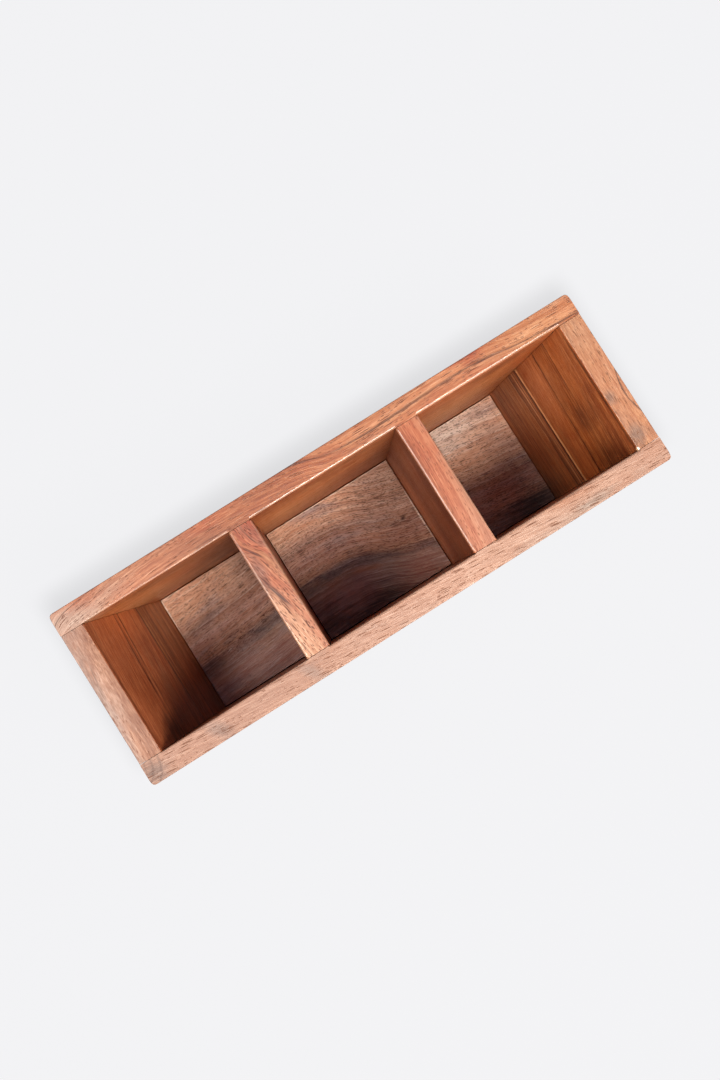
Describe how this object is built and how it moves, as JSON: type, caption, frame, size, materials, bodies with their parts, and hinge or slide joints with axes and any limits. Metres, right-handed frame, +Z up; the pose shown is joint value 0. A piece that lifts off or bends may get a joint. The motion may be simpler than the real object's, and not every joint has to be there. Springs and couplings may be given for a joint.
{
  "type": "cutlery holder",
  "caption": "Open-topped wooden caddy with sloping ends, flush dividers and its own floor panel in each pocket, standing on a table to hold cutlery upright.",
  "frame": {"origin": "middle of the base, on the surface that the holder stands on", "axes": "+X along the length to the right-hand end, +Y to the back, +Z up"},
  "size_m": [0.2996, 0.097, 0.132],
  "materials": {
    "long_boards": "hand-sanded acacia, oiled to a satin sheen",
    "end_staves": "edge-glued acacia staves, oiled to a satin sheen",
    "dividers": "hand-sanded acacia, oiled to a satin sheen",
    "floor_panels": "rough-sanded acacia, thinly oiled",
    "dowels": "bare turned beech"
  },
  "bodies": {
    "root": {"front_board": "long_boards", "back_board": "long_boards", "left_end_lower_stave": "end_staves", "left_end_upper_stave": "end_staves", "right_end_lower_stave": "end_staves", "right_end_upper_stave": "end_staves", "left_divider": "dividers", "right_divider": "dividers", "left_floor_panel": "floor_panels", "middle_floor_panel": "floor_panels", "right_floor_panel": "floor_panels", "left_end_front_dowel_1": "dowels", "left_end_front_dowel_2": "dowels", "left_end_front_dowel_3": "dowels", "left_end_back_dowel_1": "dowels", "left_end_back_dowel_2": "dowels", "left_end_back_dowel_3": "dowels", "right_end_front_dowel_1": "dowels", "right_end_front_dowel_2": "dowels", "right_end_front_dowel_3": "dowels", "right_end_back_dowel_1": "dowels", "right_end_back_dowel_2": "dowels", "right_end_back_dowel_3": "dowels", "left_divider_front_dowel_1": "dowels", "left_divider_front_dowel_2": "dowels", "left_divider_back_dowel_1": "dowels", "left_divider_back_dowel_2": "dowels", "right_divider_front_dowel_1": "dowels", "right_divider_front_dowel_2": "dowels", "right_divider_back_dowel_1": "dowels", "right_divider_back_dowel_2": "dowels"}
  },
  "joints": []
}
